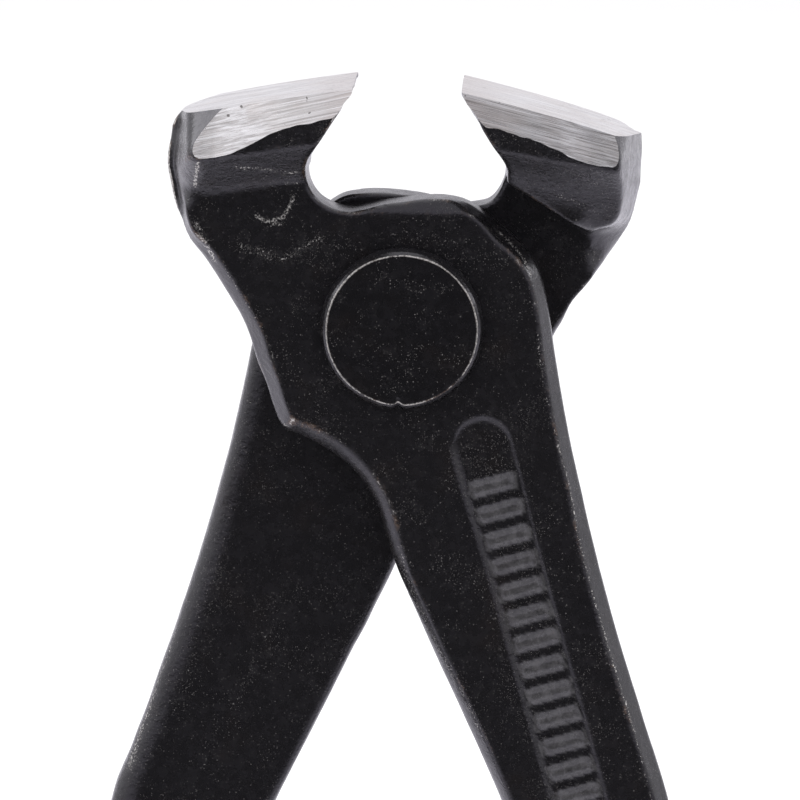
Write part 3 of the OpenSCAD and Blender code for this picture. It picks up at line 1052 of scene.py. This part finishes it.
for ob, materials, slots in ((front_half, (front_lacquer, front_steel), front_slots),
                             (rear_half, (rear_lacquer, rear_steel), rear_slots),
                             (rivet, (rivet_lacquer,), None)):
    ob.data.materials.clear()
    for material in materials:
        ob.data.materials.append(material)
    if slots is not None:
        ob.data.polygons.foreach_set("material_index", slots)
        ob.data.update()

# ------------------------------------------------- floor, light and camera

DARK_CLOTH = (0.02, 0.02, 0.021, 1)


def floor_material():
    """Pale floor; reflections see it cooler, and dark toward the camera."""
    material = bpy.data.materials.new("floor_pale")
    g = Graph(material)
    y = g.axis(g.node("NewGeometry").outputs["Position"], "Y")
    glossy = g.node("LightPath").outputs["Is Glossy Ray"]
    pale = g.mix(g.noise(g.coords(), scale=0.004, detail=3, rough=0.5), grey(0.90), grey(0.93))
    pale = g.mix(g.ramp(y, low=0.4, high=3.0), pale, grey(0.99))
    shader = g.node("BsdfPrincipled", {
        "Base Color": g.mix(glossy, pale, (0.92, 0.90, 0.98, 1)), "Metallic": 0.0,
        "Roughness": 0.75, "Specular IOR Level": 0.2})
    cloth = g.node("Emission", {"Color": DARK_CLOTH})
    flagged = g.mul(g.ramp(y, low=0.03, high=-0.24), glossy)
    mixed = g.node("MixShader", {0: flagged, 1: shader.outputs[0], 2: cloth.outputs[0]})
    g.node("OutputMaterial", {0: mixed.outputs[0]})
    return material


def build_floor():
    z = float(min(CAD_BOX[0][2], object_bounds()[0][2])) - 0.0003
    mesh = bpy.data.meshes.new("floor")
    mesh.from_pydata([(-5, -5, z), (5, -5, z), (5, 5, z), (-5, 5, z)], [], [(0, 1, 2, 3)])
    add_object("floor", mesh)
    mesh.materials.append(floor_material())


def build_world():
    """White all round; dark behind the camera, tinted in front and behind."""
    world = bpy.data.worlds.new("studio")
    bpy.context.scene.world = world
    g = Graph(world)
    direction = g.node("TexCoord").outputs["Generated"]
    rays = g.node("LightPath").outputs
    unseen = g.math('SUBTRACT', 1.0, rays["Is Camera Ray"])
    toward = g.node("VectorMath", {0: direction, 1: Vector((0.0, -1.0, 0.04)).normalized()},
                    operation='DOT_PRODUCT').outputs["Value"]
    dark = g.mul(g.ramp(toward, low=math.cos(math.radians(30)), high=math.cos(math.radians(17))),
                 unseen)
    y = g.axis(direction, "Y")
    frontal = g.mul(g.ramp(y, low=-0.35, high=-0.75), unseen)
    behind = g.mul(g.ramp(y, low=0.3, high=0.8), rays["Is Glossy Ray"])
    sky = g.mix(behind, grey(1.0), (0.855, 0.84, 0.90, 1))
    sky = g.mix(frontal, sky, (0.86, 0.84, 0.91, 1))
    sky = g.mix(dark, sky, (0.02, 0.02, 0.022, 1))
    background = g.node("Background", {"Color": sky, "Strength": 1.0})
    g.node("OutputWorld", {0: background.outputs[0]})


# name, place, target, width, height (metres), radiance
SOFTBOXES = [
    ("softbox_top", (0.0, 0.5, 1.6), (0, 0.3, 0), 2.0, 2.0, 0.52),
    ("softbox_front_left", (-0.42, -1.15, 0.78), (0, 0, 0), 0.55, 0.55, 0.42),
    ("softbox_left", (-1.05, 0.10, 0.80), (0, 0, 0), 0.8, 0.8, 4.0),
    ("strip_back_left", (-0.63, 1.50, -0.01), (-0.02, 0, 0), 0.36, 0.30, 0.55),
    ("strip_back_right", (0.60, 1.50, -0.01), (0.02, 0, 0), 0.36, 0.30, 0.62),
    ("softbox_right", (1.10, 0.35, 0.75), (0, 0, 0), 0.8, 0.8, 4.0),
]


def build_lights():
    for name, place, target, width, height, radiance in SOFTBOXES:
        light = bpy.data.lights.new(name, 'AREA')
        light.shape = 'RECTANGLE'
        light.size = width
        light.size_y = height
        light.energy = radiance * math.pi * light.size * light.size_y
        ob = add_object(name, light)
        ob.location = place
        aim = Vector(target) - Vector(place)
        ob.rotation_euler = aim.to_track_quat('-Z', 'Y').to_euler()
        ob.visible_camera = False


def build_camera():
    place = Vector((12.004, -570.594 + LAP_Y, 80.230)) * MM
    yaw, pitch, roll = -0.02134, 0.15482, 0.02313   # radians; yaw from +Y, pitch down
    forward = Vector((math.sin(yaw) * math.cos(pitch), math.cos(yaw) * math.cos(pitch),
                      -math.sin(pitch)))
    level = Vector((math.cos(yaw), -math.sin(yaw), 0))
    upright = level.cross(forward)
    right = math.cos(roll) * level + math.sin(roll) * upright
    up = -math.sin(roll) * level + math.cos(roll) * upright
    camera = bpy.data.cameras.new("camera")
    ob = add_object("camera", camera)
    ob.matrix_world = Matrix((*zip(right, up, -forward, place), (0, 0, 0, 1)))
    camera.sensor_width = 36.0
    camera.lens = 238.6035
    camera.clip_start = 0.01
    camera.clip_end = 20.0
    bpy.context.scene.camera = ob


build_floor()
build_world()
build_lights()
build_camera()
bpy.context.scene.view_settings.view_transform = 'Standard'
bpy.context.scene.view_settings.look = 'None'
